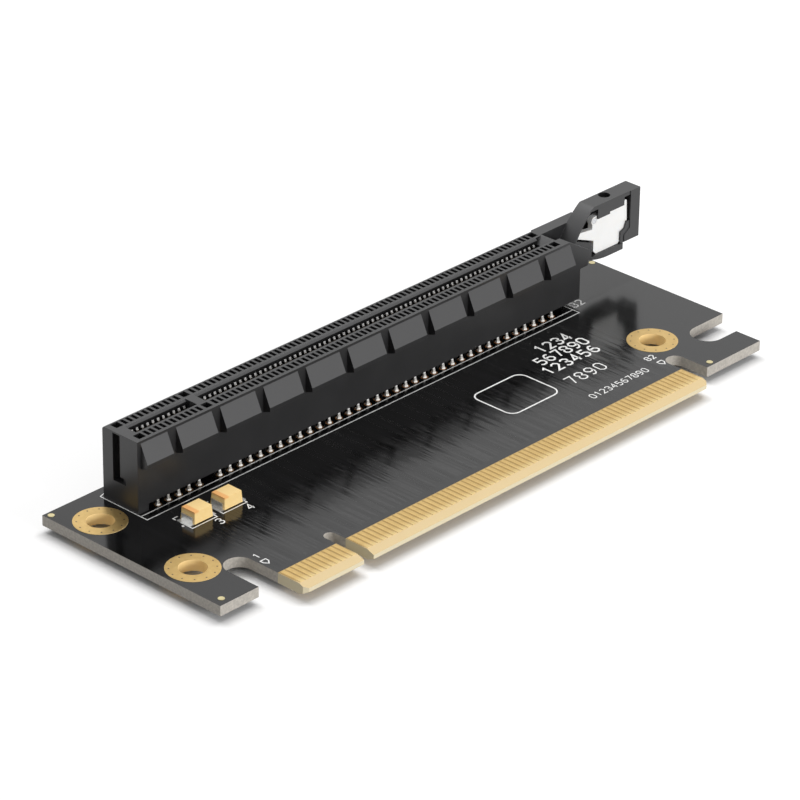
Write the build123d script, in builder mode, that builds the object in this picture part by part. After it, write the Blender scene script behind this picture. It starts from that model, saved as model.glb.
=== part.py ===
"""An x16 riser card: a flat board with a card edge in front and a card slot along its back.

The origin is the centre line of the key slot, at the tip of the tongue, in the middle of the
board's thickness. +X runs along the contacts, +Y from the tongue to the back edge, +Z up.
"""
import os

from build123d import *

# Board
board_thickness = 1.6
board_left = -23.85
board_right = 90.6
board_back = 39.6
left_tab_front = 4.5
left_tab_right = -16.65
right_tab_left = 75.2
right_tab_right = 87.5
right_tab_front = 2.9
left_notch_top = 12.7
right_notch_top = 9.25
side_notch_width = 5.2
side_notch_centre_y = 10.1
side_notch_left = 81.2
tongue_corner_chamfer = 0.6
bevel_length = 1.3
bevel_drop = 0.48

# Contact grid, shared by the edge fingers and the slot
pitch = 1.0
short_count = 11
long_count = 71
key_to_contact = 1.5
key_width = 1.9
key_depth = 8.3
tongue_margin = 0.68

# Edge fingers
plating = 0.05
finger_width = 0.7
finger_end_y = 5.2
finger_tip_gap = 0.05

# Plated mounting holes
hole_radius = 2.05
ring_radius = 3.88
barrel_wall = 0.1
left_holes_x = -19.3
right_hole_x = 76.2
front_holes_y = 14.45
back_hole_y = 32.75

# Alignment marks
mark_radius = 0.5
mark_sides = 12
mark_centres = [(-23.0, 38.7), (-22.35, 5.85), (76.8, 3.8), (89.9, 38.4)]

# Slot housing; heights are above the board's upper face
slot_y = 33.75
slot_width = 7.0
slot_left = -14.45
slot_right = 77.6
slot_height = 11.3
standoff = 1.0
left_foot_length = 2.0
rear_edge_chamfer = 0.3

# Comb of contact pockets
bar_inner = 0.9
bar_outer = 1.6
bar_depth = 1.1
pocket_outer = 2.95
pocket_width = 0.6
key_pocket_width = 1.25
end_pocket_width = 1.3
end_pocket_gap = 0.4
end_pocket_depth = 4.0
lead_in = 0.3
card_clearance = 0.3
slot_floor = 3.0
spine_half_width = 0.8
skirt_thickness = 0.26
key_bridge_width = 1.6
end_lead_in_length = 1.2
end_lead_in_depth = 1.0

# Wedge panels on both long walls
panel_top = 10.9
panel_crest = 8.0
panel_lip = 7.4
panel_foot = 6.9
panel_depth = 1.35
panel_gap = 1.65
panel_pitch = 8.5
panel_gap_count = 10
first_gap_left = -8.75
front_panels_left = -13.8
rear_panels_left = -12.9
panels_right = 75.0

# Groove in the left end
end_groove_left = 0.0
end_groove_right = 1.45
end_groove_bottom = 3.6
end_groove_top = 11.05
end_groove_depth = 1.2
end_ledge_left = -1.1
end_ledge_height = 1.0
end_ledge_depth = 0.6

# Right end of the slot: card hook pocket between two cheeks
hook_pocket_left = 74.0
hook_pocket_half_width = 1.45
hook_pocket_floor = 3.0
hook_pocket_end_wall = 1.0
cheek_base_height = 5.9
front_cheek_right = 79.6
front_cheek_top_left = 74.9
front_cheek_top_right_height = 8.5
cheek_chin = 1.0
rear_cheek_right = 83.2

# Latch tower: a ramp on its left, a beam on top, an end wall on its right and a sill below
tower_half_width = 1.5
tower_top = 13.85
tower_right = 93.45
tower_beam = 0.65
tower_back_wall = 0.6
tower_end_wall = 2.15
tower_end_bottom = 5.6
ramp_foot_x = 77.2
ramp_knee_x = 78.55
ramp_knee_height = 9.3
ramp_top_x = 82.7
ramp_wall = 0.35
sill_bottom = 4.5
sill_top = 5.55
sill_right = 89.8
sill_bend_length = 3.3
sill_arch_x = 81.7
sill_arch_rise = 0.85
post_right = 82.45
corner_fill_low = 6.75
corner_fill_high = 7.6

# Thin plates that close the tower's front above and beside the lever
front_recess = 0.1
front_recess_right = 91.25
skirt_plate = 0.3
skirt_bottom = 11.5
skirt_step = 0.35
skirt_left = 83.8
skirt_step_x = 86.6
skirt_right = 89.9
end_plate_left = 89.25
end_plate_shoulder = 7.5
end_plate_knee_x = 90.2
end_plate_knee_height = 7.85
end_plate_top_x = 90.6
end_plate_top = 8.9
tower_hole_radius = 0.95
tower_hole_x = 87.2
tower_hole_y = 0.45

# Lever, its pin, and the room that it has to rock in
lever_thickness = 0.9
lever_side_clearance = 0.12
lever_rest_gap = 0.03
lever_end_clearance = 0.3
lever_swing_x = 0.45
lever_swing_height = 0.3
pin_x = 83.37
pin_height = 11.25
pin_radius = 0.45
pin_clearance = 0.04
hub_radius = 0.68
boss_radius = 0.75
arm_tip_clearance = 0.6
arm_tip_thickness = 0.9
arm_tip_top = 10.35
arm_root_top = 9.95
arm_root_bottom = 7.95
thumb_left = 84.5
thumb_top = 12.1
ridge_height = 0.45
ridge_length = 0.8
ridge_slope = 0.2
thumb_step_x = 90.4
thumb_step_height = 7.3
thumb_step_rise = 1.2
heel_left = 83.3
heel_right = 89.6
heel_chamfer = 0.6

# Contacts
contact_width = 0.4
contact_thickness = 0.25
outer_tail_y = 3.25
inner_tail_y = 1.25
tail_bend_height = 0.3
tail_below_board = 0.9
contact_bump_y = 0.4
contact_bump_height = 9.9
contact_tip_y = 0.75
contact_tip_height = 10.6

# Pegs that locate the slot on the board
peg_radius = 1.0
peg_clearance = 0.05
peg_below_board = 1.0
right_peg_x = 74.65

# Capacitors; x and y are the body's centre
capacitor_length = 3.5
capacitor_width = 2.8
capacitor_height = 1.9
capacitor_gap = 0.1
capacitor_draft = 0.12
capacitor_y = 24.0
capacitor_xs = [-9.3, -3.55]
terminal_width = 2.2
terminal_thickness = 0.15
terminal_height = 1.1
terminal_foot = 0.8
land_length = 1.6
land_width = 2.5
land_thickness = 0.1

# Derived places
board_top = board_thickness / 2
board_bottom = -board_thickness / 2
first_x = -key_to_contact - (short_count - 1) * pitch
last_x = key_to_contact + (long_count - 1) * pitch
tongue_left = first_x - tongue_margin
tongue_right = last_x + tongue_margin
short_xs = [first_x + i * pitch for i in range(short_count)]
long_xs = [key_to_contact + i * pitch for i in range(long_count)]
contact_xs = short_xs + long_xs
outer_xs = contact_xs[1::2]
inner_xs = contact_xs[0::2]
hole_centres = [(left_holes_x, back_hole_y), (left_holes_x, front_holes_y), (right_hole_x, front_holes_y)]
peg_xs = [0.0, right_peg_x]
half_width = slot_width / 2
bar_bottom = slot_height - bar_depth
skirt_inner = half_width - skirt_thickness
window_back = tower_half_width - tower_back_wall
window_right = tower_right - tower_end_wall
window_top = tower_top - tower_beam
tail_tip = -board_thickness - tail_below_board
ramp_foot = (ramp_foot_x, panel_foot)
ramp_knee = (ramp_knee_x, ramp_knee_height)
ramp_top = (ramp_top_x, tower_top)
ramp_slope = (ramp_knee_x - ramp_foot_x, ramp_knee_height - panel_foot)
sill_bend = (sill_right - sill_bend_length, sill_bottom)
sill_arch = (sill_arch_x, sill_bottom + sill_arch_rise)
arm_tip_x = ramp_knee_x + ramp_wall + arm_tip_clearance
arm_tip_bottom = arm_tip_top - arm_tip_thickness
arm_slope = (arm_root_bottom - arm_tip_bottom) / (heel_left - arm_tip_x)
lever_front = -tower_half_width + skirt_plate + lever_side_clearance
lever_back = lever_front + lever_thickness
thumb_right = window_right - lever_end_clearance


def end_plane(x):
    """A plane across the slot at x: its axes are the distance from the slot's centre and the height."""
    return Plane(origin=(x, slot_y, board_top), x_dir=(0, 1, 0), z_dir=(1, 0, 0))


def side_plane(y):
    """A plane along the slot at a distance y from its centre; extrusions run towards the front."""
    return Plane(origin=(0, slot_y + y, board_top), x_dir=(1, 0, 0), z_dir=(0, -1, 0))


def deck_plane(height):
    """A level plane at a height above the board, centred across the slot; extrusions run upwards."""
    return Plane(origin=(0, slot_y, board_top + height), x_dir=(1, 0, 0), z_dir=(0, 0, 1))


def span(low_x, high_x, low_y, high_y, mode=Mode.ADD):
    """A rectangle between two corners of the sketch that is open."""
    with Locations((low_x, low_y)):
        return Rectangle(high_x - low_x, high_y - low_y, align=(Align.MIN, Align.MIN), mode=mode)


def polygon(*points):
    """A face through the points, in the sketch that is open."""
    return Polygon(*points, align=None)


def round_notch(low_x, high_x, top):
    """A notch with a round end, cut from the front edge of the board's sketch."""
    radius = (high_x - low_x) / 2
    span(low_x, high_x, 0, top - radius, mode=Mode.SUBTRACT)
    with Locations(((low_x + high_x) / 2, top - radius)):
        Circle(radius, mode=Mode.SUBTRACT)


def board_outline():
    """The board seen from above: tabs at both ends, the keyed tongue and a notch in the right side."""
    notch_radius = side_notch_width / 2
    notch_bottom = side_notch_centre_y - notch_radius
    notch_top = side_notch_centre_y + notch_radius
    span(board_left, board_right, 0, board_back)
    span(board_left, left_tab_right, 0, left_tab_front, mode=Mode.SUBTRACT)
    span(right_tab_left, board_right, 0, right_tab_front, mode=Mode.SUBTRACT)
    span(right_tab_right, board_right, 0, notch_top, mode=Mode.SUBTRACT)
    span(side_notch_left + notch_radius, board_right, notch_bottom, notch_top, mode=Mode.SUBTRACT)
    with Locations((side_notch_left + notch_radius, side_notch_centre_y)):
        Circle(notch_radius, mode=Mode.SUBTRACT)
    round_notch(left_tab_right, tongue_left, left_notch_top)
    round_notch(tongue_right, right_tab_left, right_notch_top)
    round_notch(-key_width / 2, key_width / 2, key_depth)


# Circuit board
with BuildPart() as circuit_board:
    with BuildSketch(Plane.XY.offset(board_bottom)) as outline:
        board_outline()
        tongue_corners = outline.vertices().group_by(Axis.Y)[0].sort_by(Axis.X)
        chamfer([tongue_corners[0], tongue_corners[-1]], tongue_corner_chamfer)
        with Locations(*hole_centres):
            Circle(hole_radius + barrel_wall, mode=Mode.SUBTRACT)
        with Locations(*[(x, slot_y) for x in peg_xs]):
            Circle(peg_radius + peg_clearance, mode=Mode.SUBTRACT)
    extrude(amount=board_thickness)
    # both faces of the tongue are bevelled so that it leads into the slot below
    with BuildSketch(Plane(origin=(tongue_left, 0, 0), x_dir=(0, 1, 0), z_dir=(1, 0, 0))):
        for side in (-1, 1):
            face = side * board_top
            polygon((0, face), (bevel_length, face), (0, face - side * bevel_drop))
    extrude(amount=tongue_right - tongue_left, mode=Mode.SUBTRACT)
circuit_board.part.label = "circuit_board"


def edge_fingers(base_z, xs):
    """The pads of one run on one face of the tongue, from the bevel back to the solder mask."""
    finger_start = bevel_length + finger_tip_gap
    with BuildPart() as fingers:
        with BuildSketch(Plane.XY.offset(base_z)):
            with Locations(*[(x, finger_start) for x in xs]):
                Rectangle(finger_width, finger_end_y - finger_start, align=(Align.CENTER, Align.MIN))
        extrude(amount=plating)
    return fingers.part


fingers = {}
for face, base_z in (("top", board_top), ("bottom", board_bottom - plating)):
    fingers[f"edge_fingers_{face}_short"] = edge_fingers(base_z, short_xs)
    fingers[f"edge_fingers_{face}_long"] = edge_fingers(base_z, long_xs)
for name, run in fingers.items():
    run.label = name

# Plated holes: a copper ring on each face, joined through the board by a thin barrel
with BuildPart() as plated_holes:
    rim = board_top + plating
    for x, y in hole_centres:
        with BuildSketch(Plane(origin=(x, y, 0), x_dir=(1, 0, 0), z_dir=(0, -1, 0))):
            span(hole_radius, hole_radius + barrel_wall, -rim, rim)
            span(hole_radius, ring_radius, board_top, rim)
            span(hole_radius, ring_radius, -rim, board_bottom)
        revolve(axis=Axis((x, y, 0), (0, 0, 1)))
plated_holes.part.label = "plated_holes"

# Alignment marks
with BuildPart() as alignment_marks:
    with BuildSketch(Plane.XY.offset(board_top)):
        with Locations(*mark_centres):
            RegularPolygon(mark_radius, mark_sides)
    extrude(amount=plating)
alignment_marks.part.label = "alignment_marks"


def panel_profile(side):
    """The section of the wedge panels on one long wall."""
    polygon(
        (side * half_width, panel_top),
        (side * (half_width + panel_depth), panel_crest),
        (side * (half_width + panel_depth), panel_lip),
        (side * half_width, panel_foot),
    )


def card_channel():
    """The card slot's section: a lead-in, a throat between two bars and a wider room for the contacts."""
    for side in (-1, 1):
        polygon(
            (0, slot_height),
            (side * (bar_inner + lead_in), slot_height),
            (side * bar_inner, slot_height - lead_in),
            (side * bar_inner, bar_bottom),
            (side * bar_outer, bar_bottom),
            (side * bar_outer, slot_floor),
            (0, slot_floor),
        )


def cheek(right, top_left, top_right_height):
    """One side of the hook pocket, seen from the side, reaching out past the base of the slot."""
    polygon(
        (hook_pocket_left, cheek_base_height),
        (slot_right, cheek_base_height),
        (right, cheek_base_height + cheek_chin),
        (right, top_right_height),
        (top_left, slot_height),
        (hook_pocket_left, slot_height),
    )


def arm_floor(x):
    """The height of the window's floor below the lever's arm, with room for its swing."""
    return arm_tip_bottom + arm_slope * (x - arm_tip_x) - lever_swing_height


# Slot housing, one moulding with its latch tower and pegs
with BuildPart() as slot_housing:
    # lower body over the full length, upper body up to the hook pocket
    with BuildSketch(end_plane(slot_left)):
        span(-half_width, half_width, standoff, cheek_base_height)
    extrude(amount=slot_right - slot_left)
    with BuildSketch(end_plane(slot_left)):
        polygon(
            (-half_width, cheek_base_height),
            (half_width, cheek_base_height),
            (half_width, slot_height - rear_edge_chamfer),
            (half_width - rear_edge_chamfer, slot_height),
            (-half_width, slot_height),
        )
    extrude(amount=hook_pocket_left - slot_left)
    # foot at the left end, and the land under the hook pocket
    with BuildSketch(end_plane(slot_left)):
        span(-half_width, half_width, 0, standoff)
    extrude(amount=left_foot_length)
    with BuildSketch(end_plane(right_peg_x - peg_radius)):
        span(-bar_outer, bar_outer, 0, standoff)
    extrude(amount=2 * peg_radius)
    # wedge panels, one band on each wall, then the gaps between them
    for side, panels_left in ((-1, front_panels_left), (1, rear_panels_left)):
        with BuildSketch(end_plane(panels_left)):
            panel_profile(side)
        extrude(amount=panels_right - panels_left)
    for gap in range(panel_gap_count):
        with BuildSketch(end_plane(first_gap_left + gap * panel_pitch)):
            for side in (-1, 1):
                wall = side * half_width
                crest = side * (half_width + panel_depth)
                span(min(wall, crest), max(wall, crest), panel_foot, panel_top)
        extrude(amount=panel_gap, mode=Mode.SUBTRACT)
    # cheeks of the hook pocket
    with BuildSketch(side_plane(-hook_pocket_half_width)):
        cheek(front_cheek_right, front_cheek_top_left, front_cheek_top_right_height)
    extrude(amount=half_width - hook_pocket_half_width)
    with BuildSketch(side_plane(half_width)):
        cheek(rear_cheek_right, rear_cheek_right, slot_height)
    extrude(amount=half_width - hook_pocket_half_width)
    # card slot in two runs, left and right of the key
    for low, high in (
        (first_x - tongue_margin - card_clearance, -key_bridge_width / 2),
        (key_bridge_width / 2, last_x + tongue_margin + card_clearance),
    ):
        with BuildSketch(end_plane(low)):
            card_channel()
        extrude(amount=high - low, mode=Mode.SUBTRACT)
    # lead-in at the slot's right end
    slot_end = last_x + tongue_margin + card_clearance
    with BuildSketch(side_plane(bar_inner + lead_in)):
        polygon(
            (slot_end, slot_height - end_lead_in_depth),
            (slot_end + end_lead_in_length, slot_height),
            (slot_end, slot_height),
        )
    extrude(amount=2 * (bar_inner + lead_in), mode=Mode.SUBTRACT)
    # pockets behind the bars, open to the card slot below the bars
    with BuildSketch(deck_plane(slot_floor)):
        for side in (-1, 1):
            with Locations(*[(x, side * (bar_outer + pocket_outer) / 2) for x in contact_xs]):
                Rectangle(pocket_width, pocket_outer - bar_outer)
    extrude(amount=slot_height - slot_floor, mode=Mode.SUBTRACT)
    # shallow pockets beside the key and at both ends of each row
    end_offset = pocket_width / 2 + end_pocket_gap + end_pocket_width / 2
    with BuildSketch(deck_plane(slot_height)):
        for side in (-1, 1):
            row = side * (bar_outer + pocket_outer) / 2
            with Locations((0, row)):
                Rectangle(key_pocket_width, pocket_outer - bar_outer)
            with Locations((first_x - end_offset, row), (last_x + end_offset, row)):
                Rectangle(end_pocket_width, pocket_outer - bar_outer)
    extrude(amount=-end_pocket_depth, mode=Mode.SUBTRACT)
    # troughs for the tails on both sides of the spine
    for low, high in ((short_xs[0], short_xs[-1]), (long_xs[0], long_xs[-1])):
        with BuildSketch(end_plane(low - pocket_width / 2)):
            span(-skirt_inner, -spine_half_width, standoff, slot_floor)
            span(spine_half_width, skirt_inner, standoff, slot_floor)
        extrude(amount=high - low + pocket_width, mode=Mode.SUBTRACT)
    # groove with a ledge in the left end
    with BuildSketch(end_plane(slot_left)):
        span(end_groove_left, end_groove_right, end_groove_bottom, end_groove_top)
    extrude(amount=end_groove_depth, mode=Mode.SUBTRACT)
    with BuildSketch(end_plane(slot_left)):
        span(end_ledge_left, end_groove_left, end_groove_bottom, end_groove_bottom + end_ledge_height)
    extrude(amount=end_ledge_depth, mode=Mode.SUBTRACT)
    # hook pocket
    with BuildSketch(deck_plane(hook_pocket_floor)):
        hook_pocket_right = slot_right - hook_pocket_end_wall
        span(hook_pocket_left, hook_pocket_right, -hook_pocket_half_width, hook_pocket_half_width)
    extrude(amount=slot_height - hook_pocket_floor, mode=Mode.SUBTRACT)
    # latch tower: its solid outline with the ramp, then the lever's window cut from the front
    with BuildSketch(side_plane(tower_half_width)):
        with BuildLine():
            Polyline((ramp_foot_x, sill_bottom), ramp_foot, ramp_knee)
            TangentArc(ramp_knee, ramp_top, tangent=ramp_slope)
            Polyline(ramp_top, (tower_right, tower_top), (tower_right, tower_end_bottom))
            Line((tower_right, tower_end_bottom), (sill_right, tower_end_bottom))
            Polyline((sill_right, tower_end_bottom), (sill_right, sill_bottom), sill_bend)
            TangentArc(sill_bend, sill_arch, tangent=(-1, 0))
            Polyline(sill_arch, (sill_arch_x, sill_bottom), (ramp_foot_x, sill_bottom))
        make_face()
    extrude(amount=2 * tower_half_width)
    with BuildSketch(side_plane(window_back)):
        with BuildLine():
            arch_left = ramp_knee_x + ramp_wall
            arch_start = (arch_left, arm_floor(arch_left))
            arch_end = (ramp_top_x - tower_beam, window_top)
            fill_left = heel_right + lever_swing_x
            TangentArc(arch_start, arch_end, tangent=ramp_slope)
            Polyline(arch_end, (window_right, window_top), (window_right, corner_fill_high))
            Polyline((window_right, corner_fill_high), (fill_left, corner_fill_low), (fill_left, sill_top))
            Polyline((fill_left, sill_top), (post_right, sill_top), (post_right, arm_floor(post_right)))
            Line((post_right, arm_floor(post_right)), arch_start)
        make_face()
    extrude(amount=window_back + tower_half_width, mode=Mode.SUBTRACT)
    # the beam stands back a little from the end wall, and the front plates line up with it
    with BuildSketch(side_plane(front_recess - tower_half_width)):
        span(ramp_foot_x, front_recess_right, window_top, tower_top)
    extrude(amount=front_recess, mode=Mode.SUBTRACT)
    with BuildSketch(side_plane(skirt_plate - tower_half_width)):
        polygon(
            (skirt_left, window_top),
            (skirt_left, skirt_bottom),
            (skirt_step_x, skirt_bottom),
            (skirt_step_x, skirt_bottom + skirt_step),
            (skirt_right, skirt_bottom + skirt_step),
            (skirt_right, window_top),
        )
        polygon(
            (end_plate_left, sill_top),
            (end_plate_left, end_plate_shoulder),
            (end_plate_knee_x, end_plate_knee_height),
            (end_plate_top_x, end_plate_top),
            (window_right, end_plate_top),
            (window_right, sill_top),
        )
    extrude(amount=skirt_plate - front_recess)
    # hole in the beam for a tool, and the boss and the hole for the pin
    with BuildSketch(deck_plane(window_top)):
        with Locations((tower_hole_x, tower_hole_y)):
            Circle(tower_hole_radius)
    extrude(amount=tower_beam, mode=Mode.SUBTRACT)
    with BuildSketch(side_plane(window_back)):
        with Locations((pin_x, pin_height)):
            Circle(boss_radius)
    extrude(amount=window_back - lever_back - lever_side_clearance)
    with BuildSketch(side_plane(tower_half_width)):
        with Locations((pin_x, pin_height)):
            Circle(pin_radius)
    extrude(amount=tower_half_width - lever_back, mode=Mode.SUBTRACT)
    # pegs
    with BuildSketch(deck_plane(standoff)):
        with Locations(*[(x, 0) for x in peg_xs]):
            Circle(peg_radius)
    extrude(amount=-(standoff + board_thickness + peg_below_board))
slot_housing.part.label = "slot_housing"


def contact_row(xs, tail_y, side):
    """One row of bent contact strips; side is -1 in front of the card and 1 behind it."""
    half = contact_thickness / 2
    near = side * tail_y - half
    far = side * tail_y + half
    if side < 0:
        near, far = far, near
    with BuildPart() as row:
        for x in xs:
            with BuildSketch(end_plane(x - contact_width / 2)):
                polygon(
                    (near, tail_tip),
                    (near, tail_bend_height),
                    (side * contact_bump_y, contact_bump_height),
                    (side * contact_tip_y, contact_tip_height),
                    (far, tail_bend_height),
                    (far, tail_tip),
                )
        extrude(amount=contact_width)
    return row.part


contact_rows = {
    "contacts_front_outer": contact_row(outer_xs, outer_tail_y, -1),
    "contacts_front_inner": contact_row(inner_xs, inner_tail_y, -1),
    "contacts_rear_outer": contact_row(outer_xs, outer_tail_y, 1),
    "contacts_rear_inner": contact_row(inner_xs, inner_tail_y, 1),
}
for name, row in contact_rows.items():
    row.label = name

# Latch lever: an arm towards the card's hook, a hub on the pin and a broad thumb plate
with BuildPart() as latch_lever:
    with BuildSketch(side_plane(lever_back)):
        polygon(
            (arm_tip_x, arm_tip_bottom),
            (arm_tip_x, arm_tip_top),
            (pin_x - pin_radius, arm_root_top),
            (pin_x - pin_radius, pin_height),
            (pin_x, pin_height + hub_radius),
            (thumb_left, thumb_top),
            (thumb_right - ridge_length, thumb_top),
            (thumb_right - ridge_length + ridge_slope, thumb_top + ridge_height),
            (thumb_right - ridge_slope, thumb_top + ridge_height - ridge_slope),
            (thumb_right, thumb_step_height + thumb_step_rise),
            (thumb_step_x, thumb_step_height),
            (heel_right, thumb_step_height),
            (heel_right, sill_top + heel_chamfer),
            (heel_right - heel_chamfer, sill_top + lever_rest_gap),
            (heel_left + heel_chamfer, sill_top + lever_rest_gap),
            (heel_left, sill_top + heel_chamfer),
            (heel_left, arm_root_bottom),
        )
        with Locations((pin_x, pin_height)):
            Circle(hub_radius)
            Circle(pin_radius + pin_clearance, mode=Mode.SUBTRACT)
    extrude(amount=lever_thickness)
latch_lever.part.label = "latch_lever"

# Pin of the lever, pressed into the tower's back wall
with BuildPart() as latch_pin:
    with BuildSketch(side_plane(tower_half_width)):
        with Locations((pin_x, pin_height)):
            Circle(pin_radius)
    extrude(amount=tower_half_width - lever_front)
latch_pin.part.label = "latch_pin"


def capacitor_body(x):
    """A moulded block, drafted from its parting line up."""
    base = Plane(origin=(x, capacitor_y, board_top + capacitor_gap))
    with BuildPart() as body:
        with BuildSketch(base):
            Rectangle(capacitor_length, capacitor_width)
        with BuildSketch(base.offset(capacitor_height - capacitor_gap)):
            Rectangle(capacitor_length - 2 * capacitor_draft, capacitor_width - 2 * capacitor_draft)
        loft()
    return body.part


def capacitor_terminal(x, side):
    """A strip that comes down the end of the body and stands on the land."""
    end = x + side * capacitor_length / 2
    back = capacitor_y + terminal_width / 2
    with BuildPart() as terminal:
        with BuildSketch(Plane(origin=(0, back, board_top), x_dir=(1, 0, 0), z_dir=(0, -1, 0))):
            polygon(
                (end, terminal_height),
                (end + side * terminal_thickness, terminal_height),
                (end + side * terminal_thickness, land_thickness),
                (end, land_thickness),
            )
        extrude(amount=terminal_width)
    return terminal.part


capacitor_pieces = {}
for index, x in enumerate(capacitor_xs, start=1):
    capacitor_pieces[f"capacitor_{index}_body"] = capacitor_body(x)
    capacitor_pieces[f"capacitor_{index}_left_terminal"] = capacitor_terminal(x, -1)
    capacitor_pieces[f"capacitor_{index}_right_terminal"] = capacitor_terminal(x, 1)
for name, piece in capacitor_pieces.items():
    piece.label = name

# Solder lands under the capacitors' ends
with BuildPart() as solder_lands:
    with BuildSketch(Plane.XY.offset(board_top)):
        offset_x = capacitor_length / 2
        with Locations(*[(x + side * offset_x, capacitor_y) for x in capacitor_xs for side in (-1, 1)]):
            Rectangle(land_length, land_width)
    extrude(amount=land_thickness)
solder_lands.part.label = "solder_lands"

os.makedirs("parts", exist_ok=True)
pieces = [
    circuit_board.part,
    *fingers.values(),
    plated_holes.part,
    alignment_marks.part,
    slot_housing.part,
    *contact_rows.values(),
    latch_lever.part,
    latch_pin.part,
    *capacitor_pieces.values(),
    solder_lands.part,
]
for piece in pieces:
    export_step(piece, f"parts/{piece.label}.step")
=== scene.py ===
# %% [markdown]
# # An x16 riser card, dressed from its CAD frame
# The card carries a long black slot on its top side and gold fingers along its front edge.
# The packed CAD model is loaded first and stays as it is. Every finish and every small piece
# that follows is laid on it, in metres and in the same frame, so nothing has to be fitted.

# %% The frame
import math

import bmesh
import bpy
from mathutils import Euler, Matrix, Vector


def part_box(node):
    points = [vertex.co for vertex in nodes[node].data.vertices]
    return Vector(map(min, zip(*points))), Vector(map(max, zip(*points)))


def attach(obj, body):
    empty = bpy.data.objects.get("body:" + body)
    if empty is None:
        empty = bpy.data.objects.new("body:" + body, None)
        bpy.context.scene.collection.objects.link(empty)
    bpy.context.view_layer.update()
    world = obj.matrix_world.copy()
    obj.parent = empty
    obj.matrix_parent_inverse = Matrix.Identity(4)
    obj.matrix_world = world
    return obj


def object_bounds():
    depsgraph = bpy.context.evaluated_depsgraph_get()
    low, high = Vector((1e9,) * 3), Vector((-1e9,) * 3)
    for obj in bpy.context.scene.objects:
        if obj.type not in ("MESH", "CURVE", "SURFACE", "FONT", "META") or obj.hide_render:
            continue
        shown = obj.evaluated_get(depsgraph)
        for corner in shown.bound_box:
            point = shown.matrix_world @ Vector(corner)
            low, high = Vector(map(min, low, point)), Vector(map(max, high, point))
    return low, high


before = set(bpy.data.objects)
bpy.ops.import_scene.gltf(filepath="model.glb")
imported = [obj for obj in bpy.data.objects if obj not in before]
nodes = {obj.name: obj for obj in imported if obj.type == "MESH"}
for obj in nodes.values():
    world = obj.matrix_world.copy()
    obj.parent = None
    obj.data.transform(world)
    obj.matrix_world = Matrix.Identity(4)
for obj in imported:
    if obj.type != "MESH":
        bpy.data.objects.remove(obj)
MM = 0.001
cad_box = [list(corner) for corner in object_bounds()]
box_mm = [[round(c / MM, 2) for c in corner] for corner in cad_box]
print("nodes:", len(nodes), "box in mm:", box_mm)

# %% [markdown]
# ## The camera
# The picture was taken from far away with a long lens, which keeps the long edges of the card
# almost parallel. A camera can be turned by hand until the view fits, but that is slow with a
# long lens. Here its place, its turn and its lens were worked out once from the corners of the
# board, the slot and the fingers, so they are plain numbers.

# %% The camera
SENSOR_WIDTH, LENS = 36.0, 191.05
NEAREST, FARTHEST = 0.05, 20.0
CAMERA_PLACE = (-0.363031, -0.345199, 0.287934)
CAMERA_TURN = Euler((1.086762, -0.011960, -0.812117))

camera_data = bpy.data.cameras.new("picture_camera")
camera_data.sensor_width, camera_data.lens = SENSOR_WIDTH, LENS
camera_data.clip_start, camera_data.clip_end = NEAREST, FARTHEST
camera = bpy.data.objects.new("picture_camera", camera_data)
camera.location, camera.rotation_euler = CAMERA_PLACE, CAMERA_TURN
bpy.context.scene.collection.objects.link(camera)
bpy.context.scene.camera = camera
print("camera at", [round(c, 3) for c in camera.location], "lens", round(camera_data.lens, 2))

# %% [markdown]
# ## Shader maths as plain expressions
# Blender adds one node for every sum or product, which makes long trees that are hard to read.
# The small class below wraps a socket, so that `1 - mask * 0.5` adds the same nodes and reads
# like a formula. Colours have a blend of their own, because a Math node would turn them grey.


# %% A socket with arithmetic
class Value:
    """One output socket of a node; its operators add the Math nodes they stand for."""

    def __init__(self, owner, socket):
        self.owner, self.socket = owner, socket

    def __add__(self, other):
        return self.owner.math("ADD", self, other)

    def __sub__(self, other):
        return self.owner.math("SUBTRACT", self, other)

    def __rsub__(self, other):
        return self.owner.math("SUBTRACT", other, self)

    def __mul__(self, other):
        return self.owner.math("MULTIPLY", self, other)

    def __gt__(self, other):
        return self.owner.math("GREATER_THAN", self, other)

    def __lt__(self, other):
        return self.owner.math("LESS_THAN", self, other)

    def __abs__(self):
        return self.owner.math("ABSOLUTE", self)

    __radd__, __rmul__ = __add__, __mul__

    def fraction(self):
        return self.owner.math("FRACT", self)

    def whole(self):
        return self.owner.math("FLOOR", self)

    def least(self, other):
        return self.owner.math("MINIMUM", self, other)

    def most(self, other):
        return self.owner.math("MAXIMUM", self, other)

    def rise(self, start, end):
        """0 before start and 1 after end, with a soft turn between them."""
        return self.owner.node(
            "ShaderNodeMapRange",
            {"interpolation_type": "SMOOTHSTEP"},
            {"Value": self, "From Min": start, "From Max": end},
        )


print("a value also knows:", ", ".join(name for name in vars(Value) if name[0] != "_"))

# %% [markdown]
# ## One method that adds nodes
# Materials and the sky are both trees of nodes. One class serves them both: it takes a node's
# type, then its settings, then what its sockets hold, and gives back the output as a value.


# %% A tree of nodes
class Tree:
    """A node tree, and the nodes that a material and the sky both need."""

    def __init__(self, tree):
        self.tree = tree

    def node(self, kind, settings=None, inputs=None, output=0):
        made = self.tree.nodes.new(kind)
        for key, setting in (settings or {}).items():
            setattr(made, key, setting)
        for key, given in (inputs or {}).items():
            if isinstance(given, Value):
                self.tree.links.new(given.socket, made.inputs[key])
            else:
                made.inputs[key].default_value = given
        return Value(self, made.outputs[output])

    def math(self, operation, *terms):
        return self.node("ShaderNodeMath", {"operation": operation}, dict(enumerate(terms)))

    def seen(self):
        """1 where the camera looks straight at a thing or sees it mirrored, and 0 elsewhere."""
        rays = ("Is Camera Ray", "Is Glossy Ray")
        straight, mirrored = [self.node("ShaderNodeLightPath", output=ray) for ray in rays]
        return straight.most(mirrored)


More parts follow.
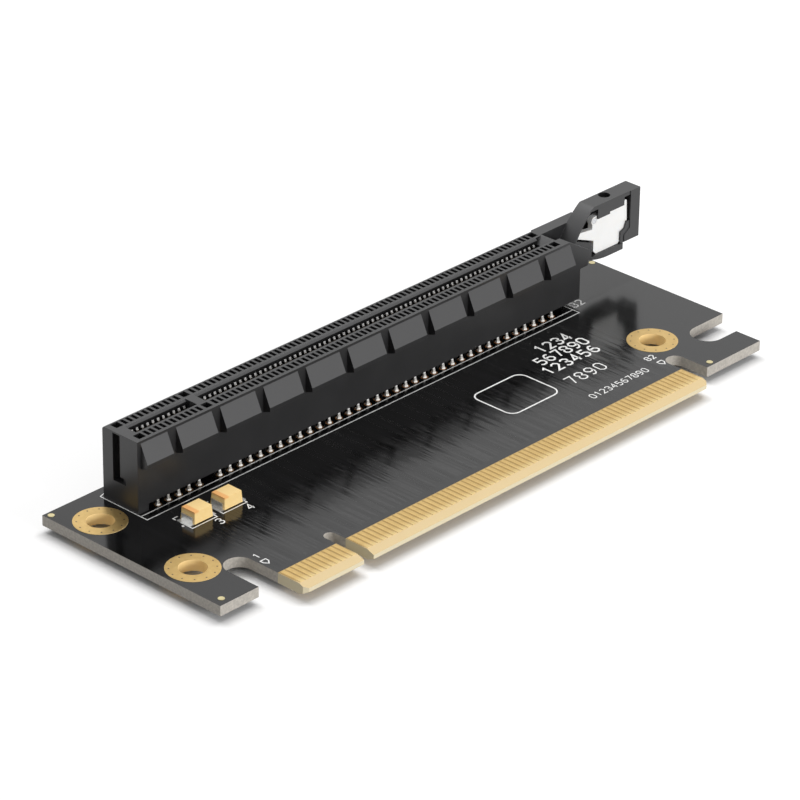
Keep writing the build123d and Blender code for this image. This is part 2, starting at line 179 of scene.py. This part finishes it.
print("a tree knows:", ", ".join(name for name in vars(Tree) if name[0] != "_"))

# %% [markdown]
# ## One finish, one material
# A finish is a Principled shader. What is the same all over the surface, such as the index of
# refraction, is written straight onto the shader. What varies is an expression that is fed to
# the colour, the roughness, the metal or the bump. The plain colour and roughness given at the
# start are what a program shows that can't read the nodes.


# %% A finish
def linear(code):
    """The linear colour of a hex code as it is written on screens."""
    parts = [int(code[i : i + 2], 16) / 255 for i in (0, 2, 4)]
    return [c / 12.92 if c <= 0.04045 else ((c + 0.055) / 1.055) ** 2.4 for c in parts] + [1.0]


class Finish(Tree):
    """A material with its Principled shader, and the patterns that its surface can carry."""

    def __init__(self, name, colour, **constants):
        self.material = bpy.data.materials.new(name)
        self.material.use_nodes = True
        super().__init__(self.material.node_tree)
        self.shader = self.tree.nodes["Principled BSDF"]
        self.shader.inputs["Base Color"].default_value = linear(colour)
        for socket, constant in constants.items():
            self.shader.inputs[socket.replace("_", " ")].default_value = constant

    def along(self, axis):
        """The place on the part along the X, Y or Z axis, in millimetres."""
        here = self.node("ShaderNodeTexCoord", output="Object")
        return self.node("ShaderNodeSeparateXYZ", {}, {"Vector": here}, axis) * (1 / MM)

    def up(self):
        """How far the surface faces up: 1 on top, 0 on a wall and -1 underneath."""
        normal = self.node("ShaderNodeNewGeometry", output="Normal")
        return self.node("ShaderNodeSeparateXYZ", {}, {"Vector": normal}, "Z")

    def noise(self, scale, detail=2.0):
        """A cloudy pattern from 0 to 1 with this many patches to the metre."""
        here = self.node("ShaderNodeTexCoord", output="Object")
        inputs = {"Vector": here, "Scale": scale, "Detail": detail}
        return self.node("ShaderNodeTexNoise", {}, inputs)

    def chance(self, number):
        """A random value from 0 to 1 that belongs to this number."""
        settings = {"noise_dimensions": "1D"}
        return self.node("ShaderNodeTexWhiteNoise", settings, {"W": number}, "Value")

    def blend(self, mask, below, above):
        """One colour where the mask is 0 and the other where it is 1."""
        return self.node("ShaderNodeMix", {"data_type": "RGBA"}, {0: mask, 6: below, 7: above}, 2)

    def feed(self, socket, value):
        self.tree.links.new(value.socket, self.shader.inputs[socket])

    def bump(self, height, distance=1.0, strength=1.0, **more):
        """Raises the surface by height, where 1 stands for this many millimetres."""
        inputs = {"Height": height, "Distance": distance * MM, "Strength": strength, **more}
        self.feed("Normal", self.node("ShaderNodeBump", {}, inputs))


def dress(finish, *names):
    """Gives the CAD nodes of these names the finish."""
    for name in names:
        slots = nodes[name].data.materials
        slots.clear()
        slots.append(finish.material)
    print(finish.material.name, "of", len(finish.tree.nodes), "nodes on", ", ".join(names))


print("a middle grey on screens is", round(linear("808080")[0], 3), "in linear light")

# %% [markdown]
# ## Solder mask over glass fibre
# The board is a sheet of woven glass and resin. Both broad faces wear a glossy black mask, and
# the cut edges show the pale core. Under the fingers there is no mask, so the tongue is bare
# and yellowish, and its bevel is cream. Each face could have a material of its own, but the CAD
# mesh stays whole, so one material does all of it: the way that a face looks and its distance
# from the tip of the tongue decide between the colours.

# %% The board's colours
# millimetres: the tongue's two sides, where the mask begins, and the length of the bevel
TONGUE_LEFT, TONGUE_RIGHT, MASK_FRONT, BEVEL = -12.19, 72.19, 5.35, 1.3

board = Finish("black_solder_mask", "0b0b0c", Roughness=0.1, IOR=1.5)
x, y = board.along("X"), board.along("Y")
edge = abs(board.up()) < 0.6
bare = (y < MASK_FRONT) * (x > TONGUE_LEFT) * (x < TONGUE_RIGHT)

fibre, grain = board.noise(2600.0, 3.0), board.noise(9000.0)
core = board.blend(fibre.rise(0.3, 0.75), linear("a8a39b"), linear("bfb9b0"))
core = board.blend(grain.rise(0.6, 0.8) * 0.5, core, linear("d8d2c6"))
core = board.blend(bare, core, linear("dfd3b3"))
behind_bevel = y.rise(BEVEL - 0.2, BEVEL + 1.6)
tongue_resin = board.blend(behind_bevel, linear("cbb27f"), linear("a38549"))
print("board colours use", len(board.tree.nodes), "nodes")

# %% [markdown]
# ## Tracks under the mask
# Copper tracks run under the mask from the slot to the fingers. They could be modelled, but all
# that shows of them is that they break the mirror image of the slot into stripes. So the height
# below gives every track its own small slope, by a random value for each strip of the board.
# Broad bundles and fine tracks also differ a little in how black and how glossy they are. The
# whole sheet dips slightly towards the slot, as boards do after soldering, which stretches the
# image.

# %% The tracks
FINE_TRACKS, BUNDLES = 3.9, 0.61  # how many to the millimetre
TRACK_RISE, WEAVE_RISE, WAVE_RISE, DIP_SLOPE = 0.021, 0.006, 0.012, 0.026  # millimetres

fine, bundle = x * FINE_TRACKS + 0.3, x * BUNDLES + 0.1
lean = board.chance(fine.whole()) - 0.5
shade = board.chance(bundle.whole() + 40.5) * 0.5 + board.chance(fine.whole() + 3.5) * 0.5
solder_mask = board.blend(shade, linear("040404"), linear("0e0e0f"))
face = board.blend(bare, solder_mask, tongue_resin)
board.feed("Base Color", board.blend(edge, face, core))
board.feed("Roughness", 0.12 + edge * 0.5 + bare * 0.3 + shade * 0.05)

front_to_back = y.rise(5.6, 7.5) * (1 - y.rise(27.5, 28.2))
left_to_right = x.rise(-12.5, -11.5) * (1 - x.rise(72.5, 74.0))
tilt = (fine.fraction() - 0.5) * lean * front_to_back * left_to_right * (1 - edge)
dip = y.most(2.0).least(30.0) * -DIP_SLOPE
wave = board.noise(60.0)
board.bump(tilt * TRACK_RISE + fibre * edge * WEAVE_RISE + wave * WAVE_RISE + dip)
dress(board, "circuit_board")

# %% [markdown]
# ## Gold
# The fingers and the rings round the holes are copper with a thin layer of gold. Gold is a
# metal, so its colour lies in the reflection. Fine scratches along the fingers soften it, and
# at the bevel the metal thins out and turns paler. The walls of the holes and the other upright
# faces are dull, with no metal, so they catch the light from all sides, and their pale colour is a
# painted highlight that brightens them further. The four small marks that guide the placing
# machine are paler, because their copper is tinned.

# %% Gold and the marks
gold = Finish("gold_plating", "d8b274", Roughness=0.3)
flat = abs(gold.up()) > 0.5
brushed = gold.noise(1800.0, 3.0)
away_from_bevel = gold.along("Y").rise(0.6, 2.8)
warm = gold.blend(brushed, linear("bb9c60"), linear("cbae74"))
warm = gold.blend(away_from_bevel, linear("d6c18c"), warm)
# upright faces, mostly the walls of the holes, get a pale colour: a painted highlight
gold.feed("Base Color", gold.blend(flat, linear("ffe0a0"), warm))
gold.feed("Metallic", flat)
gold.feed("Roughness", 0.28 + brushed * 0.12)
gold.bump(brushed, 0.01, 0.4)
FINGERS = [f"edge_fingers_{face}_{run}" for face in ("top", "bottom") for run in ("short", "long")]
dress(gold, *FINGERS, "plated_holes")

pale = Finish("pale_mark_plating", "c2b88e", Metallic=0.8, Roughness=0.35)
spotted = pale.noise(2400.0)
pale.feed("Base Color", pale.blend(spotted, linear("b6ab80"), linear("cec398")))
pale.feed("Roughness", 0.3 + spotted * 0.12)
dress(pale, "alignment_marks")

# %% [markdown]
# ## Black plastic
# The slot and its tower are one moulding of glass-filled nylon. It is black, smooth and fairly
# glossy, and the mould rounds its outer edges. The edges could be rounded in the mesh, at the
# price of many more faces. A Bevel node is cheaper: it reads the corners and turns the shading
# over them, so that each edge catches a thin line of light. Faces that lean back are a little
# rougher, and their paler tone is a painted sheen that makes the sloping panels brighter.

# %% The slot
EDGE_ROUNDING = 0.06 * MM
plastic = Finish("black_slot_plastic", "242425", Roughness=0.3, IOR=1.5)
flow, speck = plastic.noise(240.0, 3.0), plastic.noise(5200.0)
up = plastic.up()
sloping = (up > 0.2) * (up < 0.9)
moulded = plastic.blend(flow, linear("202021"), linear("272728"))
# faces that lean back get a paler colour: a painted sheen on the sloping panels
plastic.feed("Base Color", plastic.blend(sloping, moulded, linear("404041")))
plastic.feed("Roughness", 0.3 + flow * 0.1 + sloping * 0.1)
rounded = plastic.node("ShaderNodeBevel", {"samples": 4}, {"Radius": EDGE_ROUNDING})
plastic.bump(speck, 0.004, 0.5, Normal=rounded)
dress(plastic, "slot_housing")

# %% [markdown]
# ## Contacts and the pin
# The contacts are stamped from phosphor bronze and plated. Deep in the slot they lie in shade, so
# a band of painted shade darkens them there, and only their tips show as a row of bright points;
# below the band their square tails shine where they go through the board. Each strip is one piece
# of the CAD, so the height decides where the painted shade lies. The pin of the lever is turned
# steel.

# %% Contacts and the pin
# where the painted shade of the slot starts and ends on each contact
SLOT_SHADE_START, SLOT_SHADE_END = (2.6, 3.4), (10.95, 11.15)  # millimetres above the board's middle

contact = Finish("plated_contact", "eeece8", Metallic=0.7, Roughness=0.28)
streak, z = contact.noise(2400.0), contact.along("Z")
# a band of painted shade darkens the contacts deep in the slot, below their tips
slot_shade = z.rise(*SLOT_SHADE_START) * (1 - z.rise(*SLOT_SHADE_END))
plated = contact.blend(streak, linear("f2f0ec"), linear("ffffff"))
contact.feed("Base Color", contact.blend(slot_shade, plated, linear("3a2f22")))
contact.feed("Roughness", 0.22 + streak * 0.14)
ROWS = [f"contacts_{side}_{row}" for side in ("front", "rear") for row in ("outer", "inner")]
dress(contact, *ROWS)

steel = Finish("pin_steel", "c8c9cb", Metallic=1.0, Roughness=0.3)
turned = steel.noise(3600.0)
steel.feed("Base Color", steel.blend(turned, linear("b9babd"), linear("dcdde0")))
steel.feed("Roughness", 0.24 + turned * 0.16)
dress(steel, "latch_pin")

# %% [markdown]
# ## The white lever
# The lever is moulded in white acetal, which lets a little light in. A weak subsurface layer
# keeps its shaded faces from turning flat grey. Its edges are soft to the finger: a Bevel
# modifier rounds them and leaves the mesh that came from the CAD as it is.

# %% The lever
white = Finish(
    "white_lever_plastic",
    "eeeeec",
    Roughness=0.35,
    IOR=1.48,
    Subsurface_Weight=0.15,
    Subsurface_Radius=(1.0, 0.9, 0.8),
    Subsurface_Scale=0.4 * MM,
)
tone = white.noise(500.0)
white.feed("Base Color", white.blend(tone, linear("f4f4f2"), linear("fbfbfa")))
white.feed("Roughness", 0.3 + tone * 0.15)
dress(white, "latch_lever")

soft_edge = nodes["latch_lever"].modifiers.new("soft_edge", "BEVEL")
soft_edge.width, soft_edge.segments = 0.16 * MM, 2
soft_edge.limit_method, soft_edge.angle_limit = "ANGLE", math.radians(35)
print("lever edges rounded by", round(soft_edge.width / MM, 2), "mm")

# %% [markdown]
# ## Capacitors
# Both tantalum capacitors are bricks of yellow resin with a darker stripe at the plus end and
# flat tinned terminals that wrap under them. The stripe could be a thin piece of its own, but
# on the real part it is only a stain, so it is a mask that counts from each brick's middle.

# %% The capacitors
FIRST, BETWEEN, SECOND = -9.3, -6.4, -3.55  # the bricks' middles along x, and the gap's

resin = Finish("yellow_resin", "f4cf78", Roughness=0.4, IOR=1.5)
x, z = resin.along("X"), resin.along("Z")
mottle = resin.noise(1600.0, 3.0)
brick = resin.blend(mottle, linear("fbd68c"), linear("ffe0a0"))
from_middle = (x - FIRST) * (x < BETWEEN) + (x - SECOND) * (x > BETWEEN)
stripe = (1 - from_middle.rise(-1.0, -0.6)) * z.rise(2.3, 2.7)
resin.feed("Base Color", resin.blend(stripe * 0.75, brick, linear("f4a85c")))
resin.feed("Roughness", 0.36 + mottle * 0.16)
resin.bump(mottle, 0.01, 0.3)
dress(resin, "capacitor_1_body", "capacitor_2_body")

tin = Finish("tinned_terminal", "dcdcdc", Metallic=1.0, Roughness=0.32)
dull = tin.noise(2000.0)
tin.feed("Base Color", tin.blend(dull, linear("cfcfcd"), linear("f0f0ee")))
tin.feed("Roughness", 0.26 + dull * 0.2)
TERMINALS = [f"capacitor_{n}_{side}_terminal" for n in (1, 2) for side in ("left", "right")]
dress(tin, "solder_lands", *TERMINALS)

# %% [markdown]
# ## Pieces of our own
# What the CAD leaves out is flat or tiny: ink, solder and dots. Each such piece is drawn by a
# small function with bmesh, in millimetres. The helper below turns the drawing into an object,
# gives it a finish and lets it ride on the card, so that it goes wherever the card goes.


# %% A mesh piece
def mesh_piece(name, build, finish):
    """A new piece made by build(bmesh), with a finish, that rides on the card."""
    mesh = bpy.data.meshes.new(name)
    made = bmesh.new()
    build(made)
    bmesh.ops.scale(made, vec=(MM, MM, MM), verts=made.verts)
    bmesh.ops.recalc_face_normals(made, faces=made.faces)
    made.to_mesh(mesh)
    made.free()
    mesh.materials.append(finish.material)
    piece = bpy.data.objects.new(name, mesh)
    bpy.context.scene.collection.objects.link(piece)
    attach(piece, "card")
    print(name, len(mesh.polygons), "faces")


def arc(centre, radius, start, end, steps):
    """Points on an arc, from one angle in degrees to another."""
    angles = [math.radians(start + (end - start) * i / steps) for i in range(steps + 1)]
    return [(centre[0] + radius * math.cos(a), centre[1] + radius * math.sin(a)) for a in angles]


def circle(centre, radius, corners, start=0):
    """The corners of a closed ring round a centre."""
    return arc(centre, radius, start, start + 360, corners)[:corners]


square = [(round(px, 1), round(py, 1)) for px, py in circle((0, 0), 1, 4)]
print("a ring of four corners:", square)

# %% [markdown]
# ## White ink
# Outlines, ticks and numbers are printed on the mask. They could be an image laid over the
# board, but an image blurs close up and needs a file. Here each line is a ribbon of faces with
# mitred corners, a fiftieth of a millimetre thick, so that it lies on the board like real ink
# and stays sharp at any distance.

# %% Ribbons of ink
BOARD_TOP, INK_THICKNESS = 0.8, 0.02
SHARPEST_MITRE = 0.35


def ribbon(made, points, width, closed=False):
    """A flat line of ink through the points, with mitred corners."""
    flat = [Vector(p) for p in points]
    count = len(flat)
    left, right = [], []
    for i, here in enumerate(flat):
        before = flat[i - 1] if i or closed else None
        after = flat[(i + 1) % count] if i < count - 1 or closed else None
        into = (here - before).normalized() if before is not None else None
        out = (after - here).normalized() if after is not None else None
        along = ((into or out) + (out or into)).normalized()
        side = Vector((-along.y, along.x))
        reach = width / 2 / max(SHARPEST_MITRE, abs(along.dot(out or into)))
        left.append(here + side * reach)
        right.append(here - side * reach)
    top, base = [
        [[made.verts.new((p.x, p.y, level)) for p in row] for row in (left, right)]
        for level in (BOARD_TOP + INK_THICKNESS, BOARD_TOP)
    ]
    for i in range(count if closed else count - 1):
        j = (i + 1) % count
        made.faces.new((top[0][i], top[1][i], top[1][j], top[0][j]))
        made.faces.new((top[0][i], top[0][j], base[0][j], base[0][i]))
        made.faces.new((top[1][j], top[1][i], base[1][i], base[1][j]))


ink = Finish("white_ink", "f2f2f0", Roughness=0.5)
worn = ink.noise(4200.0, 3.0)
ink.feed("Base Color", ink.blend(worn.rise(0.3, 0.6), linear("cfcfcf"), linear("f6f6f4")))
ink.feed("Roughness", 0.45 + worn * 0.2)
print("ink is", INK_THICKNESS, "mm thick and lies", BOARD_TOP, "mm above the board's middle")

# %% [markdown]
# ## Printed lines
# A frame runs round the foot of the slot, brackets show how the capacitors lie, and an arrow
# stands at each end of the fingers. A rounded box is left empty.

# %% Lines, brackets, box and arrows
PEN = 0.16
SLOT_FRAME_GAP, SLOT_FRAME_RIGHT, SLOT_FRAME_FRONT, SLOT_FRAME_INNER = 0.14, 75.5, 28.35, 29.65
BRACKETS = ((-11.86, -7.14), (-5.97, -1.34))
BOX_LEFT, BOX_RIGHT, BOX_FRONT, BOX_BACK, BOX_CORNER = 43.7, 54.3, 13.2, 21.5, 1.5
ARROW = ((-0.5, 0.6), (0.5, 0.6), (0.5, 0.0), (0.0, -0.6), (-0.5, 0.0))
ARROW_PLACES = ((-11.2, 8.6), (71.7, 8.7))


def slot_frame(made):
    """Two lines along the front of the slot and one round each of its ends."""
    left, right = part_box("slot_housing")[0][0] / MM - SLOT_FRAME_GAP, SLOT_FRAME_RIGHT
    corners = [(left, SLOT_FRAME_FRONT), (right, SLOT_FRAME_FRONT)]
    ribbon(made, [(left + 1.0, 38.1), (left, 37.8), *corners, (right, 31.5)], PEN)
    ribbon(made, [(left, SLOT_FRAME_INNER), (right, SLOT_FRAME_INNER)], 0.14)


def capacitor_brackets(made):
    """Brackets at the front and the back of each capacitor, and a dot at the plus end."""
    for left, right in BRACKETS:
        ribbon(made, [(left, 24.6), (left, 22.2), (right, 22.2), (right, 22.9)], PEN)
        ribbon(made, [(left, 25.5), (left, 26.1), (left + 0.9, 26.1)], PEN)
    ribbon(made, arc((-12.3, 23.6), 0.1, 0, 360, 8), 0.2)


def empty_box(made):
    """An empty box with rounded corners."""
    left, right = BOX_LEFT + BOX_CORNER, BOX_RIGHT - BOX_CORNER
    front, back = BOX_FRONT + BOX_CORNER, BOX_BACK - BOX_CORNER
    centres = ((right, back), (left, back), (left, front), (right, front))
    turns = [arc(at, BOX_CORNER, 90 * i, 90 * i + 90, 5) for i, at in enumerate(centres)]
    ribbon(made, [point for turn in turns for point in turn], 0.24, closed=True)


def end_arrows(made):
    """The arrows that point at the first and the last finger."""
    for ax, ay in ARROW_PLACES:
        ribbon(made, [(ax + px, ay + py) for px, py in ARROW], 0.17, closed=True)


mesh_piece("ink_slot_frame", slot_frame, ink)
mesh_piece("ink_brackets", capacitor_brackets, ink)
mesh_piece("ink_stamp_box", empty_box, ink)
mesh_piece("ink_arrows", end_arrows, ink)

# %% [markdown]
# ## Printed numbers
# Makers draw the numbers on a board with one pen width, so each digit here is a few pen strokes
# in a box one unit wide and 1.6 high. A text object could be used, but its letters are filled
# outlines and don't look like a pen. The strokes become ribbons like the lines above. Only
# plain counting numbers are printed.

# %% Digits from strokes
DIGIT_HEIGHT = 1.6
STROKES = {
    "0": [[(0, 0.3), (0, 1.3), (0.3, 1.6), (0.7, 1.6), (1, 1.3), (1, 0.3), (0.7, 0), (0.3, 0),
           (0, 0.3)]],
    "1": [[(0.15, 1.3), (0.55, 1.6), (0.55, 0)]],
    "2": [[(0, 1.3), (0.3, 1.6), (0.7, 1.6), (1, 1.3), (1, 1.0), (0, 0), (1, 0)]],
    "3": [[(0, 1.35), (0.3, 1.6), (0.7, 1.6), (1, 1.3), (1, 1.1), (0.65, 0.85)],
          [(0.35, 0.85), (0.7, 0.85), (1, 0.55), (1, 0.3), (0.7, 0), (0.3, 0), (0, 0.25)]],
    "4": [[(0.75, 0), (0.75, 1.6), (0, 0.5), (1, 0.5)]],
    "5": [[(0.95, 1.6), (0.1, 1.6), (0.05, 0.9), (0.7, 0.95), (1, 0.7), (1, 0.3), (0.7, 0),
           (0.25, 0), (0, 0.2)]],
    "6": [[(0.85, 1.5), (0.5, 1.6), (0.2, 1.4), (0, 1.0), (0, 0.3), (0.3, 0), (0.7, 0),
           (1, 0.3), (1, 0.6), (0.7, 0.9), (0.3, 0.9), (0, 0.6)]],
    "7": [[(0, 1.6), (1, 1.6), (0.4, 0)]],
    "8": [[(0.3, 0.85), (0, 1.1), (0, 1.35), (0.3, 1.6), (0.7, 1.6), (1, 1.35), (1, 1.1),
           (0.7, 0.85), (1, 0.55), (1, 0.25), (0.7, 0), (0.3, 0), (0, 0.25), (0, 0.55),
           (0.3, 0.85)]],
    "9": [[(0.15, 0.1), (0.5, 0), (0.8, 0.2), (1, 0.6), (1, 1.3), (0.7, 1.6), (0.3, 1.6),
           (0, 1.3), (0, 1.0), (0.3, 0.7), (0.7, 0.7), (1, 1.0)]],
}
print("pen strokes in the ten digits:", sum(len(strokes) for strokes in STROKES.values()))

# %% Rows of numbers
# each row: its digits, its lower left corner, its height, its pen width, and its spread, which
# is the step from one digit to the next in digit widths
LARGE_NUMBERS = (
    ("1234", (61.6, 23.4), 2.0, 0.3, 1.5),
    ("567890", (58.6, 20.7), 2.0, 0.3, 1.5),
    ("123456", (57.2, 17.9), 2.0, 0.3, 1.6),
    ("7890", (57.3, 13.4), 2.1, 0.22, 1.6),
)
SMALL_NUMBERS = (
    ("01234567890", (56.0, 8.3), 1.2, 0.15, 1.55),
    ("1", (-11.4, 10.0), 1.1, 0.15, 1.5),
    ("82", (70.7, 10.4), 1.1, 0.16, 1.5),
    ("82", (76.3, 29.9), 1.5, 0.2, 1.5),
    ("1", (-13.3, 30.5), 1.0, 0.15, 1.5),
    ("3", (-8.2, 20.3), 1.4, 0.17, 1.5),
    ("4", (-2.4, 20.3), 1.4, 0.17, 1.5),
)


def numbers(rows):
    """A function that draws these rows of numbers."""

    def draw(made):
        for digits, (left, low), height, pen, spread in rows:
            unit = height / DIGIT_HEIGHT
            for place, digit in enumerate(digits):
                start = left + place * spread * unit
                for stroke in STROKES[digit]:
                    ribbon(made, [(start + px * unit, low + py * unit) for px, py in stroke], pen)

    return draw


mesh_piece("ink_large_numbers", numbers(LARGE_NUMBERS), ink)
mesh_piece("ink_small_numbers", numbers(SMALL_NUMBERS), ink)

# %% [markdown]
# ## Where the tails come through
# The slot has two rows of contacts, and in each row the tails stand near and far in turn. So
# every second contact has its tails far from the slot's middle line, and the others near it.

# %% The tails
SLOT_Y, PITCH, FAR_TAIL, NEAR_TAIL = 33.75, 1.0, 3.25, 1.25
SHORT_RUN, LONG_RUN = (-11.5, 11), (1.5, 71)  # where each run starts along x, and its count
CONTACTS = [start + i * PITCH for start, count in (SHORT_RUN, LONG_RUN) for i in range(count)]
TAILS = [(x, SLOT_Y + side * FAR_TAIL) for x in CONTACTS[1::2] for side in (-1, 1)]
TAILS += [(x, SLOT_Y + side * NEAR_TAIL) for x in CONTACTS[0::2] for side in (-1, 1)]
print("tails:", len(TAILS))

# %% [markdown]
# ## Solder
# Every tail goes through a gold land on the board and is held by a little cone of solder. The
# lands are flat rings on both faces of the board; the cones rise from them and close round the
# tail. An array of copies would work too, but plain mesh code puts all of the lands into one
# piece and all of the cones into another. Eight sides to a ring are enough at this size.

# %% Lands and cones
SIDES = 8
LAND_OUTER, LAND_INNER, LAND_LOW, LAND_HIGH = 0.62, 0.2, 0.01, 0.03
CONE_RADII = (0.42, 0.28, 0.21)  # at the land, a third of the way out, and at the end
TOP_CONE, UNDER_CONE = 0.6, 0.55


def band(made, centre, radii, levels):
    """The sloping side between two level rings round a centre."""
    rings = []
    for radius, level in zip(radii, levels):
        ring = circle(centre, radius, SIDES, 180 / SIDES)
        rings.append([made.verts.new((px, py, level)) for px, py in ring])
    for k in range(SIDES):
        m = (k + 1) % SIDES
        made.faces.new((rings[0][k], rings[0][m], rings[1][m], rings[1][k]))


def lands(made):
    """A flat ring round each tail, on both faces of the board."""
    for centre in TAILS:
        for side in (-1, 1):
            levels = (side * (BOARD_TOP + LAND_LOW), side * (BOARD_TOP + LAND_HIGH))
            band(made, centre, (LAND_OUTER, LAND_INNER), levels)


def cones(made):
    """A hollow cone of solder round each tail, in two bands, on both faces of the board."""
    for centre in TAILS:
        for side, height in ((1, TOP_CONE), (-1, UNDER_CONE)):
            low, high = side * (BOARD_TOP + LAND_HIGH), side * (BOARD_TOP + height)
            waist = (low * 2 + high) / 3
            band(made, centre, CONE_RADII[:2], (low, waist))
            band(made, centre, CONE_RADII[1:], (waist, high))


print("lands:", 2 * len(TAILS), "and as many cones, with", SIDES, "sides each")

# %% Copper gold and bright tin
land_gold = Finish("land_copper_gold", "b08048", Metallic=0.6, Roughness=0.3)
patina = land_gold.noise(1500.0, 3.0)
# warmer towards the right: a painted glint on the lands of the right half
glint_to_the_right = land_gold.along("X").rise(0.0, 50.0)
warm = land_gold.blend(glint_to_the_right, linear("b8905c"), linear("e8a068"))
land_gold.feed("Base Color", land_gold.blend(patina, linear("8a5c30"), warm))
land_gold.feed("Roughness", 0.24 + patina * 0.2)
mesh_piece("tail_lands", lands, land_gold)

solder = Finish("bright_solder", "e8e6e0", Metallic=0.6, Roughness=0.2)
wavy = solder.noise(3000.0)
solder.feed("Base Color", solder.blend(wavy, linear("e6dfd2"), linear("ffffff")))
solder.feed("Roughness", 0.16 + wavy * 0.16)
solder.bump(wavy, 0.02, 0.5)
mesh_piece("solder_cones", cones, solder)

# %% [markdown]
# ## Stitching holes
# Round each gold ring runs a circle of tiny holes that join the copper of both sides. At this
# scale each is a dark dot a quarter of a millimetre across. Real holes would cost many faces,
# and nobody could look into them, so each is a flat disc just above the ring, and its dark
# colour is painted shade for the inside of the hole.

# %% Dots on the rings
RING_CENTRES = ((-19.3, 32.75), (-19.3, 14.45), (76.2, 14.45))
DOT_COUNT, DOT_CIRCLE, DOT_RADIUS, DOT_LIFT = 12, 3.3, 0.13, 0.01


def ring_dots(made):
    """A circle of dots on each of the three gold rings."""
    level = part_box("plated_holes")[1][2] / MM + DOT_LIFT
    for centre in RING_CENTRES:
        for dot in circle(centre, DOT_CIRCLE, DOT_COUNT, 20):
            disc = circle(dot, DOT_RADIUS, SIDES)
            made.faces.new([made.verts.new((px, py, level)) for px, py in disc])


# the dots are painted shade for the dark inside of the holes
dark = Finish("painted_hole_shade", "3a2a16", Roughness=0.6)
pit = dark.noise(3000.0)
dark.feed("Base Color", dark.blend(pit, linear("2a1e10"), linear("54401f")))
mesh_piece("ring_dots", ring_dots, dark)

# %% [markdown]
# ## The floor
# The card lies on white paper. To the camera and in reflections the paper is white, so that the
# picture has a clean ground without more light on the card. To all other light it is a pale
# grey, which keeps the light that it throws back at the card plain. The card's own shadow
# still darkens it.

# %% The floor
FLOOR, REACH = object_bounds()[0].z, 3
floor_mesh = bpy.data.meshes.new("paper_floor")
corners = [(x * REACH, y * REACH, FLOOR) for x, y in ((-1, -1), (1, -1), (1, 1), (-1, 1))]
floor_mesh.from_pydata(corners, [], [(0, 1, 2, 3)])
floor = bpy.data.objects.new("paper_floor", floor_mesh)
bpy.context.scene.collection.objects.link(floor)
paper = Finish("white_paper", "ffffff", Roughness=0.9, Specular_IOR_Level=0.0)
paper.feed("Base Color", paper.blend(paper.seen(), linear("b0b0b0"), linear("ffffff")))
floor_mesh.materials.append(paper.material)
print("floor at", round(FLOOR / MM, 2), "mm")

# %% [markdown]
# ## The sky and the lamps
# A white sky fills the shadows, softly, and shows white to the camera and in the metal. Two
# large soft lamps hang behind the card, one at the back and one at the right, so that the
# shadow falls to the front and to the left and no lamp is mirrored in the gold. A third lights
# the faces that look forward. All of them are square area lamps, because a large lamp gives a
# soft shadow edge and a small one a hard edge.

# %% The sky
SKY_FILL = 0.38
world = bpy.data.worlds.new("studio")
bpy.context.scene.world = world
world.use_nodes = True
sky = Tree(world.node_tree)
strength = SKY_FILL + sky.seen() * (1 - SKY_FILL)
background = world.node_tree.nodes["Background"]
background.inputs["Color"].default_value = (1, 1, 1, 1)
world.node_tree.links.new(strength.socket, background.inputs["Strength"])
print("the sky lights the card at", SKY_FILL)

# %% The lamps
CARD_MIDDLE = Vector((0.03, 0.02, 0.0))


def soft_lamp(name, place, size, energy):
    """A square lamp that faces the middle of the card."""
    data = bpy.data.lights.new(name, "AREA")
    data.shape, data.size, data.energy = "SQUARE", size, energy
    lamp = bpy.data.objects.new(name, data)
    lamp.location = place
    lamp.rotation_euler = (CARD_MIDDLE - lamp.location).to_track_quat("-Z", "Y").to_euler()
    bpy.context.scene.collection.objects.link(lamp)
    print(name, round((CARD_MIDDLE - lamp.location).length, 2), "m away,", energy, "W")


soft_lamp("back_lamp", (0.1, 0.5, 0.78), 0.5, 3.9)
soft_lamp("right_lamp", (0.5, 0.1, 0.8), 0.5, 3.1)
soft_lamp("front_lamp", (0.08, -0.84, 0.15), 0.28, 5.0)
bpy.context.scene.view_settings.view_transform = "Standard"

# %% [markdown]
